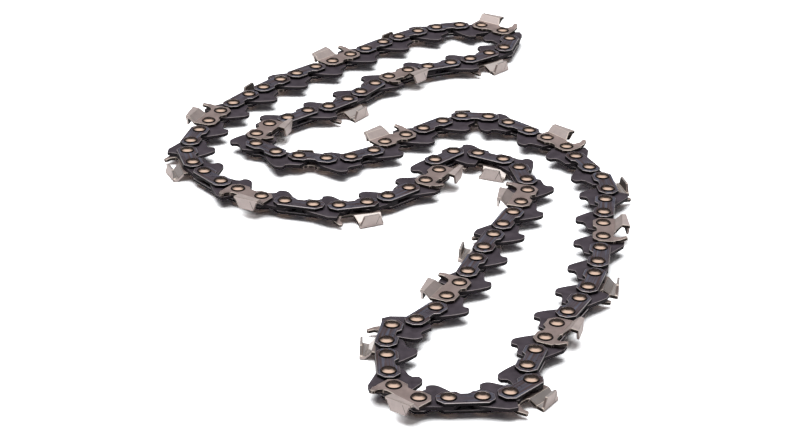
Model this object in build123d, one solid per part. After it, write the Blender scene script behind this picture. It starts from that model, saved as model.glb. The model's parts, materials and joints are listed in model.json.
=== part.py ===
from build123d import *
import math
import os

import numpy as np

# Saw chain loop lying on its side, millimetres, +Z up.
# Each link is drawn with x along the travel, +y to the cutting side and its own z from its inner face.

# chain
side_links = 56          # pairs of side plates, one drive link behind each
rivet_pitch = 9.95       # rivet to rivet in a side link
link_pitch = 8.69        # rivet to rivet in a drive link; the two together are twice the 9.32 pitch
gauge = 1.27             # drive link thickness
plate = 1.10             # side plate thickness
side_play = 0.06         # drive link play between the side plates
running_fit = 0.05       # radial play of a rivet in a drive link

# rivets: the peened heads are one with their side plates and cut from an octagon
rivet_radius = 2.10
rivet_stand = 0.50       # how far a rivet head stands out of its side plate
head_sides = 8

# tie straps
end_reach = 3.75         # plate end past its rivet
half_height = 3.50       # plate edge from the rivet line
corner_cut = 2.10        # cut across a plate corner
arch_width = 5.00        # arch on the bar side, between the two feet
arch_rise = 1.30

# drive links
link_reach = 3.60        # drive link end past its rivet
link_top = 3.40
link_cut = 2.00          # cut across a drive link corner
tang_depth = 9.40        # tang foot below the rivet line
foot_back = 0.30         # tang foot behind the link middle
toe_back = 2.10          # rear end of the rounded foot behind the link middle
toe_lift = 0.65          # that end above the tang foot
tang_tip = 1.80          # tang tip ahead of the link middle
tip_lift = 0.75          # tang tip above the tang foot
belly_bulge = 0.15       # bulge of the tang's rear edge, each way
hook_height = 6.00       # top of the hook below the rivet line
hook_ahead = 3.00
hook_hollow = 0.45       # depth of the hook's hollow
nose_drop = 5.00         # lower nose of the link body below the rivet line
bumper_top = 7.20
bumper_flat = 3.00       # length of the flat on top of the bumper
bumper_back = 4.10       # rear of that flat behind the link middle
bumper_foot = 5.00       # foot of the bumper's rear face behind the link middle

# cutters
bend_height = 4.00       # where the side plate leaves the body
flare_height = 6.10      # where the flare ends
corner_height = 8.90     # working corner above the rivet line
corner_out = 2.00        # side plate stand-out from the flare to the working corner
top_width = 4.20         # top plate across the chain
top_thick = 0.80
top_drop = 1.30          # how far the top plate falls to its heel
corner_ahead = 0.20      # working corner ahead of the cutter middle
side_ahead = 0.90        # foot of the side plate's front edge ahead of the cutter middle
side_hollow = 0.20       # that edge at the end of the flare, behind the cutter middle
heel_ahead = 1.40        # inner heel of the top plate ahead of its outer heel
cut_angle = 25.0         # cutting edge across the top plate
edge_bevel = 45.0        # filed bevel under the cutting edge
gullet_drop = 0.40       # gullet floor below that bend
gullet_slope = 0.80
gauge_depth = 0.65       # depth gauge below the working corner
gauge_foot = 5.20        # rear foot of the depth gauge ahead of the cutter middle
gauge_waist = 6.00       # its rear edge at half height
gauge_back = 5.60        # rear end of its crown
gauge_crown = 1.40       # length of its crown
gauge_round = 0.60       # cut at the crown's ends
gauge_shoulder = 5.80    # where the ramp in front of the crown ends, above the rivet line
gauge_set = 0.40         # front of the depth gauge behind the plate's end
gauge_lean = 12.0        # outward lean of the depth gauge, degrees

# Where the middles of the cutter side links lie, with twelve more at the bends, counted in pitches.
lay = {
    0: (0.5, -15.5), 1: (2.6, -15.8), 2: (4.2, -14.9), 3: (4.6, -13.2), 4: (5.3, -11.4), 6: (6.9, -7.7),
    8: (7.5, -3.8), 9: (7.7, -1.7), 10: (7.9, 0.3), 11: (7.1, 2.1), 12: (6.2, 3.9), 14: (3.1, 6.0),
    16: (0.0, 3.8), 17: (-1.3, 2.4), 18: (-3.0, 2.0), 19: (-4.8, 2.8), 20: (-5.0, 4.3), 21: (-3.8, 5.9),
    22: (-2.3, 7.2), 24: (0.1, 10.3), 26: (3.3, 12.4), 27: (4.6, 14.0), 28: (4.1, 15.7), 29: (2.2, 15.9),
    30: (0.4, 14.8), 32: (-2.4, 11.8), 34: (-5.0, 9.0), 36: (-7.1, 5.5), 38: (-7.7, 1.7), 40: (-5.2, -1.4),
    42: (-1.5, -2.1), 44: (1.5, 0.5), 45: (1.8, 2.4), 46: (3.6, 2.5), 47: (5.0, 1.0), 48: (4.8, -1.1),
    50: (3.4, -4.9), 52: (2.1, -8.7), 53: (1.2, -10.4), 54: (0.1, -11.8),
}
# Side links of the two runs on which the front of the loop swings.
outer_run = range(3, 8)
inner_run = range(48, 53)
# Rivets at the ends of these runs, by number: they stand on a parallelogram.
swing = {
    "outer_foot": 2 * outer_run.start, "outer_top": 2 * outer_run.stop,
    "inner_top": 2 * inner_run.start - 1, "inner_foot": 2 * inner_run.stop - 1,
}
most_rounds = 40         # rounds of moving the rivets to their exact spacings
close_enough = 1e-10     # largest miss left, millimetres

# levels above the ground
lower_face = corner_out + plate
link_face = lower_face + gauge
upper_face = link_face + side_play


def along_lay(station):
    """Smooth way through the given middles, at a station counted in side links."""
    keys = sorted(lay)
    count = len(keys)

    def key(i):
        return keys[i % count] + side_links * (i // count)

    def place(i):
        return np.array(lay[keys[i % count]]) * (rivet_pitch + link_pitch) / 2

    def slope(i):
        return (place(i + 1) - place(i - 1)) / (key(i + 1) - key(i - 1))

    station = station % side_links
    i = max(n for n in range(count) if keys[n] <= station)
    span = key(i + 1) - key(i)
    u = (station - key(i)) / span
    start = (1 + 2 * u) * (1 - u) ** 2 * place(i) + u * (1 - u) ** 2 * span * slope(i)
    end = u ** 2 * (3 - 2 * u) * place(i + 1) + u ** 2 * (u - 1) * span * slope(i + 1)
    return start + end


def rivet_places():
    """Front and rear rivet of every side link in turn, moved until all spacings are exact."""
    half = rivet_pitch / 2 / (rivet_pitch + link_pitch)
    points = []
    for k in range(side_links):
        points.append(along_lay(k - half))
        points.append(along_lay(k + half))
    points = np.array(points)
    count = len(points)
    lengths = np.array([rivet_pitch, link_pitch] * side_links)
    for _ in range(most_rounds):
        rows = np.zeros((count + 2, 2 * count))
        miss = np.zeros(count + 2)
        for i in range(count):
            j = (i + 1) % count
            step = points[j] - points[i]
            length = math.hypot(*step)
            rows[i, 2 * i:2 * i + 2] -= step / length
            rows[i, 2 * j:2 * j + 2] += step / length
            miss[i] = lengths[i] - length
        for axis in range(2):
            row = count + axis
            for corner, sign in (("outer_foot", 1), ("outer_top", -1), ("inner_foot", -1), ("inner_top", 1)):
                rows[row, 2 * swing[corner] + axis] = sign
                miss[row] -= sign * points[swing[corner], axis]
        points = points + np.linalg.lstsq(rows, miss, rcond=None)[0].reshape(-1, 2)
        if abs(miss).max() < close_enough:
            break
    return points


def plate_from(outline, thickness):
    """Plate from a closed outline, its inner face at z = 0."""
    return extrude(make_face(outline), thickness)


def riveted(side_plate):
    """Side plate with a rivet head at each end."""
    head = extrude(RegularPolygon(rivet_radius, head_sides), rivet_stand)
    return side_plate + [Pos(x, 0, plate) * head for x in (-rivet_pitch / 2, rivet_pitch / 2)]


def foot_points(half):
    """Bar-side edge of a side plate, from the rear end to the front end, with the arch between its feet."""
    arch_top = arch_rise - half_height
    left = [(-half, corner_cut - half_height), (corner_cut - half, -half_height),
            (-arch_width / 2, -half_height), (arch_rise - arch_width / 2, arch_top)]
    return left + [(-x, y) for x, y in reversed(left)]


def tie_strap():
    """Side plate with cut corners and an arch between its feet."""
    half = rivet_pitch / 2 + end_reach
    back = [(half, half_height - corner_cut), (half - corner_cut, half_height)]
    points = foot_points(half) + back + [(-x, y) for x, y in reversed(back)]
    return riveted(plate_from(Polyline(*points, close=True), plate))


def drive_link(bumper, bearing):
    """Centre link: a hooked tang for the bar groove, a bumper ramp on every second one.

    A link that turns on a swing rivet has its hole at that end, -1 the rear or 1 the front.
    """
    end = link_pitch / 2 + link_reach
    heel = (-end + link_cut / 2, -link_top)
    toe = (-toe_back, toe_lift - tang_depth)
    belly = ((heel[0] + toe[0]) / 2 - belly_bulge, (heel[1] + toe[1]) / 2 - belly_bulge)
    foot = (-foot_back, -tang_depth)
    tip = (tang_tip, tip_lift - tang_depth)
    hook = (hook_ahead, -hook_height)
    nose = (end - link_cut / 2, -nose_drop)
    throat = ((tip[0] + hook[0]) / 2 - hook_hollow, (tip[1] + hook[1]) / 2 + hook_hollow)
    back = [(end, link_cut - link_top), (end, link_top - link_cut), (end - link_cut, link_top)]
    rear = [(-x, y) for x, y in reversed(back)]
    if bumper:
        back += [(bumper_flat - bumper_back, bumper_top), (-bumper_back, bumper_top),
                 (-bumper_foot, link_top)]
    tang = ThreePointArc(heel, belly, toe) + ThreePointArc(toe, foot, tip)
    link = plate_from(tang + Polyline(tip, throat, hook, nose, *back, *rear, heel), gauge)
    if bearing:
        link -= Pos(bearing * link_pitch / 2, 0, gauge / 2) * Cylinder(rivet_radius + running_fit, gauge)
    return link


def cutter():
    """Right-hand cutter: body plate, flared side plate, top plate across the chain and depth gauge."""
    half = rivet_pitch / 2 + end_reach
    front = half - gauge_set
    gullet_floor = bend_height - gullet_drop
    body_top = [(half, half_height), (front, bend_height), (gauge_foot, bend_height),
                (gauge_foot - gullet_slope, gullet_floor), (side_ahead + gullet_slope, gullet_floor),
                (side_ahead, bend_height), (-half, bend_height)]
    body = plate_from(Polyline(*foot_points(half), *body_top, close=True), plate)

    # side plate: its bent section runs along the cutter and is trimmed to the side view
    outer = [(gullet_floor, plate), (bend_height, plate), (flare_height, plate + corner_out),
             (corner_height, plate + corner_out)]
    inner = [(y, z - plate) for y, z in reversed(outer)]
    section = [(-half, y, z) for y, z in outer + inner]
    bent = extrude(make_face(Polyline(*section, close=True)), half * 2, dir=(1, 0, 0))
    view = [(-half, gullet_floor), (side_ahead, gullet_floor), (side_ahead, bend_height),
            (-side_hollow, flare_height), (corner_ahead, corner_height), (-half, corner_height - top_drop)]
    side = bent & extrude(make_face(Polyline(*view, close=True)), plate + corner_out)

    # top plate: a tapered blade whose cutting edge leads at the working corner and is bevelled from below
    rim = plate + corner_out
    lag = top_width * math.tan(math.radians(cut_angle))
    blade = [(corner_ahead, 0, rim), (corner_ahead - lag, 0, rim - top_width),
             (heel_ahead - half, 0, rim - top_width), (-half, 0, rim)]
    top = extrude(make_face(Polyline(*blade, close=True)), top_thick, dir=(0, -1, 0))
    set_back = top_thick * math.tan(math.radians(edge_bevel))
    wedge = [(0, 0), (set_back, 0), (set_back, -2 * top_thick), (-2 * set_back, -2 * top_thick)]
    bevel = extrude(make_face(Polyline(*wedge, close=True)), top_width * 2, both=True)
    top -= Pos(corner_ahead, 0, rim) * Rot(0, -cut_angle, 0) * bevel
    fall = math.degrees(math.atan2(top_drop, corner_ahead + half))
    top = Pos(corner_ahead, corner_height, 0) * Rot(0, 0, fall) * Pos(-corner_ahead, 0, 0) * top

    # depth gauge: a fin with a ramped front, leaning outward from the front of the body
    crown = corner_height - gauge_depth
    fin = [(gauge_foot, gullet_floor), (gauge_waist, (gullet_floor + crown) / 2),
           (gauge_back, crown - gauge_round), (gauge_back + gauge_round, crown),
           (gauge_back + gauge_crown, crown), (front, gauge_shoulder), (front, gullet_floor)]
    fin = Rot(gauge_lean, 0, 0) * Pos(0, -gullet_floor, 0) * plate_from(Polyline(*fin, close=True), plate)

    return riveted(body + side + top + Pos(0, gullet_floor, 0) * fin)


def swing_rivet():
    """Body of a rivet that turns in its drive link, held between the two side plates."""
    length = gauge + side_play
    return Pos(0, 0, length / 2) * Cylinder(rivet_radius, length)


rivets_at = rivet_places()


def set_between(piece, front, rear, level):
    """Place a link with its front and rear rivets at the given places."""
    ahead = front - rear
    middle = (front + rear) / 2
    turn = math.degrees(math.atan2(ahead[1], ahead[0]))
    return Location((middle[0], middle[1], level), (0, 0, turn)) * piece


def run_of(first):
    """Name of the run that the link behind a rivet belongs to."""
    if swing["outer_foot"] <= first < swing["outer_top"]:
        return "outer"
    if swing["outer_top"] <= first < swing["inner_top"]:
        return "main"
    if swing["inner_top"] <= first < swing["inner_foot"]:
        return "inner"
    return "front"


strap = tie_strap()
right_cutter = cutter()
nodes = {}


def add(node, piece, front, rear, level):
    nodes.setdefault(node, []).append(set_between(piece, front, rear, level))


for k in range(side_links):
    front, rear, next_front = 2 * k, 2 * k + 1, (2 * k + 2) % len(rivets_at)
    ends = rivets_at[front], rivets_at[rear]
    run = run_of(front)
    if k % 4 == 0:
        add(run + "_right_cutters", right_cutter, *ends, upper_face)
    else:
        add(run + "_right_straps", strap, *ends, upper_face)
    if k % 4 == 2:
        add(run + "_left_cutters", mirror(right_cutter, about=Plane.XY), *ends, lower_face)
    else:
        add(run + "_left_straps", mirror(strap, about=Plane.XY), *ends, lower_face)
    for end in (front, rear):
        if end in swing.values():
            add(run + "_swing_rivets", swing_rivet(), rivets_at[end], rivets_at[end], lower_face)

    bumper = k % 2 == 1
    bearing = (rear in swing.values()) - (next_front in swing.values())
    kind = "_bumper_links" if bumper else "_drive_links"
    link = drive_link(bumper, bearing)
    add(run_of(rear) + kind, link, rivets_at[rear], rivets_at[next_front], lower_face)

box = Compound([solid for group in nodes.values() for solid in group]).bounding_box()
to_origin = Pos(-(box.min.X + box.max.X) / 2, -(box.min.Y + box.max.Y) / 2, -box.min.Z)

os.makedirs("parts", exist_ok=True)
for name, group in nodes.items():
    export_step(Compound([to_origin * solid for solid in group]), "parts/" + name + ".step")
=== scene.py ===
"""Looks of a saw chain lying on its side: blued links and straps, plated cutters and headed rivets."""
import json
import math

import bpy
import numpy as np
from mathutils import Matrix

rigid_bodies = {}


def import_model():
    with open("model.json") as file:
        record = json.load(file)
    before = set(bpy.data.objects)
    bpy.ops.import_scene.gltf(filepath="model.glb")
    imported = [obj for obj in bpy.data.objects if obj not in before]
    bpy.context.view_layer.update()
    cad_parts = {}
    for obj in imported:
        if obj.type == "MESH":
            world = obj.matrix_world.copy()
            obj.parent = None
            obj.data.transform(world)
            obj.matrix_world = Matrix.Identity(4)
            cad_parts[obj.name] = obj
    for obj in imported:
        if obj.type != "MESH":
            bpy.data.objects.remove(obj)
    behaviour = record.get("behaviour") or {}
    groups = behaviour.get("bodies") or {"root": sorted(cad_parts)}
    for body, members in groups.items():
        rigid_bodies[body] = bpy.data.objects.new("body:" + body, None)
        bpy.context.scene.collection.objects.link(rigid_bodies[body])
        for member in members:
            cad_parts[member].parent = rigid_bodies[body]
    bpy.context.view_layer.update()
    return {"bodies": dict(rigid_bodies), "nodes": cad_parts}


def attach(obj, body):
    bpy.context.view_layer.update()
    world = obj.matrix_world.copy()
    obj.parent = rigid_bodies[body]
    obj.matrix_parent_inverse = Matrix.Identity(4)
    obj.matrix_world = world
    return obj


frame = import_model()
scene = bpy.context.scene
scene.view_settings.view_transform = "Standard"

# Drive links and swing rivets: flat links punched from steel strip, each with a hooked tang that runs in
# the bar's groove, and the loose rivets at the pivots that move. They are hardened and blued, nearly black
# with a faint mottle and dull on the sheared sides, which are tinted darker as painted shade. They are
# rubbed bare along the edges, where the rims carry painted light on top and painted shade below.
MM = 0.001
# Material slots of a dressed node.
FACE = 0
SIDE = 1
RIM = 2
link_rim_mm = 0.16
usual_shine = 0.5


def colour(code):
    """Linear colour from an sRGB hex code."""
    parts = [int(code[i:i + 2], 16) / 255 for i in (0, 2, 4)]
    return [c / 12.92 if c <= 0.04045 else ((c + 0.055) / 1.055) ** 2.4 for c in parts] + [1.0]


def node(tree, kind, links=(), **values):
    """Add a shader node, set its sockets and settings by name, and link its inputs."""
    made = tree.nodes.new(kind)
    for name, value in values.items():
        if hasattr(made, name):
            setattr(made, name, value)
        else:
            made.inputs[name.replace("_", " ")].default_value = value
    for name, source in links:
        tree.links.new(source, made.inputs[name])
    return made


def plain(name, tint, roughness, metallic, shine):
    """Material of one tint."""
    material = bpy.data.materials.new(name)
    material.use_nodes = True
    inputs = material.node_tree.nodes["Principled BSDF"].inputs
    inputs["Base Color"].default_value = colour(tint)
    inputs["Roughness"].default_value = roughness
    inputs["Metallic"].default_value = metallic
    inputs["Specular IOR Level"].default_value = shine
    return material


def mottled(name, tint, roughness, metallic, patch_mm, depth, streak=None):
    """Steel with a mottle of patches and, if a second tint is given, streaks of it along each link."""
    patch_detail = 7.0
    patch_grit = 0.65
    patch_low = 0.3
    patch_high = 0.7
    dulling = 0.06
    material = plain(name, tint, roughness, metallic, usual_shine)
    tree = material.node_tree
    shader = tree.nodes["Principled BSDF"]
    place = node(tree, "ShaderNodeTexCoord").outputs["Object"]
    patches = node(tree, "ShaderNodeTexNoise", [("Vector", place)],
                   Scale=1 / (patch_mm * MM), Detail=patch_detail, Roughness=patch_grit)
    cloud = node(tree, "ShaderNodeMapRange", [("Value", patches.outputs["Fac"])],
                 From_Min=patch_low, From_Max=patch_high, To_Min=1 - depth, To_Max=1 + depth)
    wear = node(tree, "ShaderNodeMapRange", [("Value", patches.outputs["Fac"])],
                From_Min=patch_low, From_Max=patch_high,
                To_Min=roughness - dulling, To_Max=roughness + dulling)
    mixed = node(tree, "ShaderNodeMix", data_type="RGBA")
    mixed.inputs["Factor"].default_value = 0.0
    mixed.inputs["A"].default_value = colour(tint)
    mixed.inputs["B"].default_value = colour(streak or tint)
    if streak:
        # The rolling lines of real strip are finer than this and are drawn as wide as they need to show.
        streak_long_mm = 20.0
        streak_wide_mm = 0.9
        streak_detail = 3.0
        streak_low = 0.42
        streak_high = 0.62
        grain = node(tree, "ShaderNodeUVMap", uv_map="grain").outputs["UV"]
        drawn = node(tree, "ShaderNodeMapping", [("Vector", grain)],
                     Scale=(1 / streak_long_mm, 1 / streak_wide_mm, 1))
        lines = node(tree, "ShaderNodeTexNoise", [("Vector", drawn.outputs[0])],
                     Scale=1.0, Detail=streak_detail)
        share = node(tree, "ShaderNodeMapRange", [("Value", lines.outputs["Fac"])],
                     From_Min=streak_low, From_Max=streak_high)
        tree.links.new(share.outputs["Result"], mixed.inputs["Factor"])
    clouded = node(tree, "ShaderNodeVectorMath",
                   [(0, mixed.outputs["Result"]), ("Scale", cloud.outputs["Result"])], operation="SCALE")
    tree.links.new(clouded.outputs[0], shader.inputs["Base Color"])
    tree.links.new(wear.outputs["Result"], shader.inputs["Roughness"])
    return material


def worn_with_painted_light(name, tint, shade, roughness):
    """Bare steel of a rubbed edge, with painted light: the bright tint where it faces up and a painted shade
    where it faces the ground.
    """
    bare = 0.9
    dark_until = 0.0
    bright_from = 0.45
    material = plain(name, tint, roughness, bare, usual_shine)
    tree = material.node_tree
    facing = node(tree, "ShaderNodeNewGeometry").outputs["True Normal"]
    upward = node(tree, "ShaderNodeSeparateXYZ", [("Vector", facing)]).outputs["Z"]
    # Painted light and shade: the tint runs from the shade colour facing down to the bright tint facing up.
    lit = node(tree, "ShaderNodeMapRange", [("Value", upward)], From_Min=dark_until, From_Max=bright_from)
    tone = node(tree, "ShaderNodeMix", [("Factor", lit.outputs["Result"])], data_type="RGBA")
    tone.inputs["A"].default_value = colour(shade)
    tone.inputs["B"].default_value = colour(tint)
    tree.links.new(tone.outputs["Result"], tree.nodes["Principled BSDF"].inputs["Base Color"])
    return material


def dress(part, face, side, rim, rim_mm):
    """Give a node its face, side and rim materials, and round its sharp edges into rims; the side material
    carries painted shade, the rim material painted light and shade.
    """
    weld_mm = 0.002
    side_slope = 0.4
    sharp_degrees = 35
    rim_steps = 2
    part.data.materials.clear()
    for material in (face, side, rim):
        part.data.materials.append(material)
    # Faces turned sideways take the side material, whose darker tint is painted shade.
    sides = [SIDE if abs(polygon.normal.z) < side_slope else FACE for polygon in part.data.polygons]
    part.data.polygons.foreach_set("material_index", sides)
    part.data.polygons.foreach_set("use_smooth", [False] * len(sides))
    weld = part.modifiers.new("joined_faces", "WELD")
    weld.merge_threshold = weld_mm * MM
    soft = part.modifiers.new("rubbed_edges_painted_light", "BEVEL")
    soft.width = rim_mm * MM
    soft.segments = rim_steps
    soft.use_clamp_overlap = False
    soft.limit_method = "ANGLE"
    soft.angle_limit = math.radians(sharp_degrees)
    # The rounded rims take the rim material, with its painted light and shade.
    soft.material = RIM


# Steel blackened in a hot salt bath: almost black, with soft cloudy patches and a low sheen.
link_steel = mottled("blued_steel", tint="484148", roughness=0.36, metallic=0.0, patch_mm=4.0, depth=0.34)
# The same steel where the press sheared it: rough and dull, and tinted darker as painted shade on the sides.
link_shaded_side = plain("sheared_blued_steel_painted_shade", tint="332E33", roughness=0.50, metallic=0.0, shine=0.12)
# The same steel rubbed bare along its edges: a thin line of painted light on top, with painted shade below,
# that draws each link's outline.
link_rim = worn_with_painted_light("worn_blued_steel_painted_light", tint="B4ABAE", shade="161317", roughness=0.34)
for name, part in frame["nodes"].items():
    if "_links" in name or "_rivets" in name:
        dress(part, link_steel, link_shaded_side, link_rim, link_rim_mm)

# Tie straps: the side plates between the cutters, punched from rolled steel strip with cut corners and an
# arch, and held by two rivets each. They are blued like the links; their sides are tinted darker as painted
# shade, and their rims are rubbed bare, with painted light on top and painted shade below.
strap_rim_mm = 0.21
upper_caps = max(v.co.z for v in frame["nodes"]["main_right_straps"].data.vertices) / MM
lower_caps = min(v.co.z for v in frame["nodes"]["main_left_straps"].data.vertices) / MM


def rivet_spots(part, level):
    """Middles of the octagonal rivet heads of a node, at the height of their caps."""
    level_slack = 0.01
    decimals = 3
    head_reach = 4.4
    head_corners = 8
    points = np.array([v.co for v in part.data.vertices]) / MM
    caps = np.unique(points[abs(points[:, 2] - level) < level_slack].round(decimals), axis=0)
    spots = []
    while len(caps):
        near = np.hypot(*(caps[:, :2] - caps[0, :2]).T) < head_reach
        if near.sum() == head_corners:
            spots.append(caps[near].mean(0))
        caps = caps[~near]
    return np.array(spots)


def side_links(part, level):
    """Middle and lengthwise direction of each side link of a node, found from its two rivets."""
    rivet_pitch = 9.95
    spots = rivet_spots(part, level)[:, :2]
    links = []
    while len(spots):
        gaps = np.hypot(*(spots - spots[0]).T)
        mate = int(np.argmin(abs(gaps - rivet_pitch)))
        links.append(((spots[0] + spots[mate]) / 2, (spots[0] - spots[mate]) / gaps[mate]))
        spots = np.delete(spots, [0, mate], axis=0)
    return links


def lay_grain(part, links):
    """Lay a map in millimetres along each link of a node, far enough apart that no two look alike."""
    apart = 40
    mesh = part.data
    points = np.array([v.co for v in mesh.vertices])[:, :2] / MM
    middles = np.array([middle for middle, _ in links])
    grain = mesh.uv_layers.new(name="grain")
    for face in mesh.polygons:
        centre = np.array(face.center[:2]) / MM
        which = int(np.argmin(np.hypot(*(middles - centre).T)))
        middle, ahead = links[which]
        for corner in face.loop_indices:
            off = points[mesh.loops[corner].vertex_index] - middle
            grain.data[corner].uv = (off @ ahead + apart * which, off[1] * ahead[0] - off[0] * ahead[1])


# Blued strip, in which the rolling still shows: thin blue streaks along a dark brownish ground.
strap_steel = mottled("blued_strip_steel", tint="4E4041", roughness=0.30, metallic=0.0, patch_mm=5.0,
                      depth=0.34, streak="5E606E")
# The strip where it was sheared: dull, and tinted nearly black as painted shade on the sides.
strap_shaded_side = plain("sheared_strip_steel_painted_shade", tint="1A171B", roughness=0.50, metallic=0.0, shine=0.12)
# The strip's edges, which rub on the bar and the wood: bare steel in a clear bright line of painted light on
# top, with painted shade below.
strap_rim = worn_with_painted_light("worn_strip_steel_painted_light", tint="E0D8DA", shade="161317", roughness=0.30)
for name, part in frame["nodes"].items():
    if "_straps" in name:
        lay_grain(part, side_links(part, upper_caps if "_right_" in name else lower_caps))
        dress(part, strap_steel, strap_shaded_side, strap_rim, strap_rim_mm)

# Cutters: side links bent out into a side plate and a top plate, hardened, plated and ground, with a line
# scribed across each top plate to show how far the tooth may be filed. Sizes are in millimetres from the
# middle between a cutter's two rivets, ahead to its depth gauge and across to its top plate.
GROUND = 3
POLISHED = 4
cutter_rim_mm = 0.20
cutter_reach = 13.0
tip_slack = 0.05
tooth_front = 2.5
bend_height = 4.0
bend_slack = 0.1
corner_ahead = 0.2
corner_height = 8.9
top_drop = 1.3
top_length = 8.925
cut_degrees = 25
mark_start = -5.4
mark_reach = (0.9, 3.9)
mark_width = 0.16
mark_lift = 0.015
mark_slope = math.tan(math.radians(cut_degrees))
top_slope = top_drop / top_length
# Limits on how far a face of the tooth looks back to the chain, inward or ahead, from -1 to 1.
back_limit = -0.8
inward_limit = -0.3
ahead_limit = 0.45
# Plated steel as it leaves the bath: a warm grey with a soft sheen and faint clouds.
cutter_steel = mottled("plated_steel", tint="AA9894", roughness=0.36, metallic=0.35, patch_mm=5.0, depth=0.22)
# Sheared edges and the filed faces that look ahead: dull, and tinted dark beside the plated faces; on faces
# turned sideways the dark tint is painted shade.
cutter_shaded_side = plain("sheared_plated_steel_painted_shade", tint="3C3431", roughness=0.50, metallic=0.2, shine=0.2)
# The rims of the plating, rubbed bare: bright lines of painted light on top, and a painted shade below that
# is kept pale.
cutter_rim = worn_with_painted_light("worn_plated_steel_painted_light", tint="F6E8DE", shade="8A7E78", roughness=0.32)
# The tooth's outer faces after grinding: the palest grey of the chain, even and matt.
ground_steel = mottled("ground_plated_steel", tint="DDCECA", roughness=0.42, metallic=0.5, patch_mm=3.0,
                       depth=0.10)
# The tooth's inner faces, which the chips polish: white under the ceiling, grey where they turn away.
polished_steel = plain("polished_plated_steel", tint="FBF0EC", roughness=0.14, metallic=0.62,
                       shine=usual_shine)
# The scribed line's rough bottom: a thin darker stroke.
scribed_steel = plain("scribed_steel", tint="736862", roughness=0.6, metallic=0.2, shine=0.3)
for body in frame["bodies"]:
    marks = []
    for hand, turn, level in (("right", 1, upper_caps), ("left", -1, lower_caps)):
        part = frame["nodes"][f"{body}_{hand}_cutters"]
        dress(part, cutter_steel, cutter_shaded_side, cutter_rim, cutter_rim_mm)
        part.data.materials.append(ground_steel)
        part.data.materials.append(polished_steel)
        points = np.array([v.co for v in part.data.vertices]) / MM
        facing = np.array([p.normal for p in part.data.polygons])
        centres = np.array([p.center for p in part.data.polygons])[:, :2] / MM
        finish = np.array([p.material_index for p in part.data.polygons])
        tip = turn * max(turn * points[:, 2])
        inward = facing[:, 2] * turn < inward_limit
        for middle, ahead in side_links(part, level):
            off = points[:, :2] - middle
            tips = (np.hypot(*off.T) < cutter_reach) & (abs(points[:, 2] - tip) < tip_slack)
            if (off[tips] @ ahead).mean() > 0:
                ahead = -ahead
            across = np.array([-ahead[1], ahead[0]])
            stand = off @ across
            lowest = np.array([stand[list(p.vertices)].min() for p in part.data.polygons])
            near = np.hypot(*(centres - middle).T) < cutter_reach
            behind = (centres - middle) @ ahead < tooth_front
            outer = facing[:, :2] @ across > back_limit
            tooth = near & behind & outer & (lowest > bend_height - bend_slack)
            filed = tooth & (facing[:, :2] @ ahead > ahead_limit)
            finish[tooth] = GROUND
            finish[tooth & inward] = POLISHED
            # Filed faces that look ahead take the dark side material.
            finish[filed] = SIDE
            finish[filed & inward] = FACE
            for w in mark_reach:
                for start in (mark_start, mark_start - mark_width):
                    x = start - w * mark_slope
                    y = corner_height + mark_lift - (corner_ahead - x) * top_slope
                    marks.append((*((middle + ahead * x + across * y) * MM), (tip - turn * w) * MM))
        part.data.polygons.foreach_set("material_index", finish)
        part.data.update()
    mesh = bpy.data.meshes.new(f"{body}_length_marks")
    mesh.from_pydata(marks, [], [(i, i + 1, i + 3, i + 2) for i in range(0, len(marks), 4)])
    mesh.materials.append(scribed_steel)
    piece = bpy.data.objects.new(f"{body}_length_marks", mesh)
    scene.collection.objects.link(piece)
    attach(piece, body)

# Rivets: steel pins headed over in a press, which leaves flat-topped domes with a warm copper tint. A black
# ring of painted shade lies around each head's foot. Outlines are pairs of radius and rise in millimetres,
# from the foot to the middle.
around = 32
head_outline = [(2.42, -0.49), (2.35, -0.12), (2.29, -0.04), (2.18, 0.02),
                (1.30, 0.34), (1.05, 0.39), (0.60, 0.41), (0.01, 0.42)]
# A flat ring around each head's foot that carries only painted shade.
shade_ring_outline = [(2.54, -0.485), (2.36, -0.480)]
shaded_rings = 2


def turned(verts, faces, spot, outline, turn):
    """Add a turned shape at a spot, its outline in radius and rise; turn is -1 for the underside."""
    for radius, rise in outline:
        first = len(verts)
        for i in range(around):
            a = turn * 2 * math.pi * i / around
            verts.append(((spot[0] + radius * math.cos(a)) * MM, (spot[1] + radius * math.sin(a)) * MM,
                          (spot[2] + turn * rise) * MM))
            if (radius, rise) != outline[0]:
                j = (i + 1) % around
                faces.append((first - around + i, first - around + j, first + j, first + i))


# Rivet steel burnished by the heading tool: a smooth metal that mirrors the ceiling in a warm lens.
rivet_steel = plain("headed_rivet_steel", tint="C8AE9E", roughness=0.20, metallic=1.0, shine=usual_shine)
# Painted shade where each head meets its plate: a black ring on the plate and on the head's lowest rings.
painted_ring_shade = plain("painted_shade_at_head_foot", tint="161314", roughness=0.45, metallic=0.0, shine=0.2)
for body in frame["bodies"]:
    for kind, outline in (("rivet_heads", head_outline), ("rivet_shade_rings", shade_ring_outline)):
        verts = []
        faces = []
        for hand, turn, level in (("right", 1, upper_caps), ("left", -1, lower_caps)):
            for plates in ("straps", "cutters"):
                for spot in rivet_spots(frame["nodes"][f"{body}_{hand}_{plates}"], level):
                    turned(verts, faces, spot, outline, turn)
        mesh = bpy.data.meshes.new(f"{body}_{kind}")
        mesh.from_pydata(verts, [], faces)
        mesh.polygons.foreach_set("use_smooth", [True] * len(faces))
        mesh.materials.append(rivet_steel)
        mesh.materials.append(painted_ring_shade)
        rings = len(outline) - 1
        # The lowest rings of each outline take the black of painted shade.
        shaded_faces = [i // around % rings < shaded_rings for i in range(len(faces))]
        mesh.polygons.foreach_set("material_index", shaded_faces)
        piece = bpy.data.objects.new(f"{body}_{kind}", mesh)
        scene.collection.objects.link(piece)
        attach(piece, body)

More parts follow.
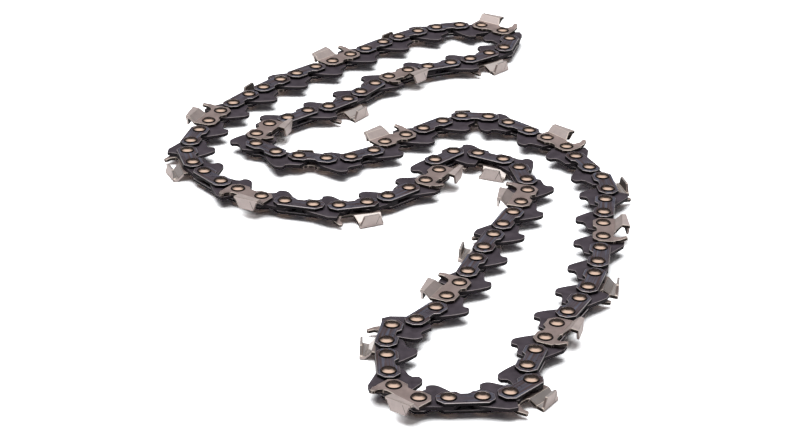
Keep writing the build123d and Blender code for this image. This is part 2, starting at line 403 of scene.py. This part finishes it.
# Ground: a plain sheet of white paper under the chain. It bounces light as paper does, and the camera sees
# it as clear white outside the shadows.
sheet_reach = 6.0
paper_tint = "F4F4F4"
clear_white = (2.27, 2.30, 2.34, 1)
sheet_mesh = bpy.data.meshes.new("paper_sheet")
sheet_mesh.from_pydata([(-sheet_reach, -sheet_reach, 0), (sheet_reach, -sheet_reach, 0),
                        (sheet_reach, sheet_reach, 0), (-sheet_reach, sheet_reach, 0)], [], [(0, 1, 2, 3)])
# Uncoated paper: matt, with no gleam, so that only the soft shadows show on it.
paper = plain("white_paper", tint=paper_tint, roughness=0.9, metallic=0.0, shine=0.0)
tree = paper.node_tree
seen = node(tree, "ShaderNodeLightPath").outputs["Is Camera Ray"]
white = node(tree, "ShaderNodeMix", [("Factor", seen)], data_type="RGBA")
white.inputs["A"].default_value = colour(paper_tint)
white.inputs["B"].default_value = clear_white
tree.links.new(white.outputs["Result"], tree.nodes["Principled BSDF"].inputs["Base Color"])
sheet_mesh.materials.append(paper)
sheet = bpy.data.objects.new("paper_sheet", sheet_mesh)
scene.collection.objects.link(sheet)

# Light: a bright ceiling over dark walls, which the steel mirrors more than it is lit by, and a wide soft
# lamp almost overhead, a little to the left and behind. Heights run from 0 at eye level to 1 overhead.
wall_light = (0.03, 0.03, 0.035, 1)
cornice_height = 0.60
cornice_light = (0.06, 0.06, 0.065, 1)
ceiling_height = 0.86
ceiling_light = (1.40, 1.38, 1.35, 1)
room_glow = 0.21
room_mirrored = 1.0
lamp_size = 1.6
lamp_power = 25.6
lamp_place = (-0.22, 0.22, 1.40)
world = bpy.data.worlds.new("studio")
scene.world = world
world.use_nodes = True
tree = world.node_tree
aim = node(tree, "ShaderNodeTexCoord").outputs["Generated"]
height = node(tree, "ShaderNodeSeparateXYZ", [("Vector", aim)])
ramp = node(tree, "ShaderNodeValToRGB", [("Fac", height.outputs["Z"])])
wall, ceiling = ramp.color_ramp.elements
wall.position = 0.0
wall.color = wall_light
ceiling.position = ceiling_height
ceiling.color = ceiling_light
cornice = ramp.color_ramp.elements.new(cornice_height)
cornice.color = cornice_light
mirrored = node(tree, "ShaderNodeLightPath").outputs["Is Glossy Ray"]
strength = node(tree, "ShaderNodeMapRange", [("Value", mirrored)], To_Min=room_glow, To_Max=room_mirrored)
backdrop = tree.nodes["Background"]
tree.links.new(ramp.outputs["Color"], backdrop.inputs["Color"])
tree.links.new(strength.outputs["Result"], backdrop.inputs["Strength"])
lamp = bpy.data.lights.new("soft_lamp", "AREA")
lamp.shape = "SQUARE"
lamp.size = lamp_size
lamp.energy = lamp_power
lamp_stand = bpy.data.objects.new("soft_lamp", lamp)
scene.collection.objects.link(lamp_stand)
lamp_stand.location = lamp_place
lamp_stand.rotation_euler = (-lamp_stand.location).to_track_quat("-Z", "Y").to_euler()
lamp_stand.visible_glossy = False

# Camera: the photo's view with a long lens, from the front and a little to the right of the middle. It
# looks 26 degrees down and is held a little out of level.
sensor_mm = 36.0
lens_mm = 107.96
nearest = 0.01
down_degrees = 25.978
roll_degrees = 1.4748
camera_place = (2.245 * MM, -751.919 * MM, 356.35 * MM)
lens = bpy.data.cameras.new("camera")
lens.sensor_width = sensor_mm
lens.lens = lens_mm
lens.clip_start = nearest
camera = bpy.data.objects.new("camera", lens)
scene.collection.objects.link(camera)
camera.rotation_mode = "QUATERNION"
tilted = Matrix.Rotation(math.radians(90 - down_degrees), 3, "X")
look = tilted @ Matrix.Rotation(math.radians(roll_degrees), 3, "Z")
camera.rotation_quaternion = look.to_quaternion()
camera.location = camera_place
scene.camera = camera
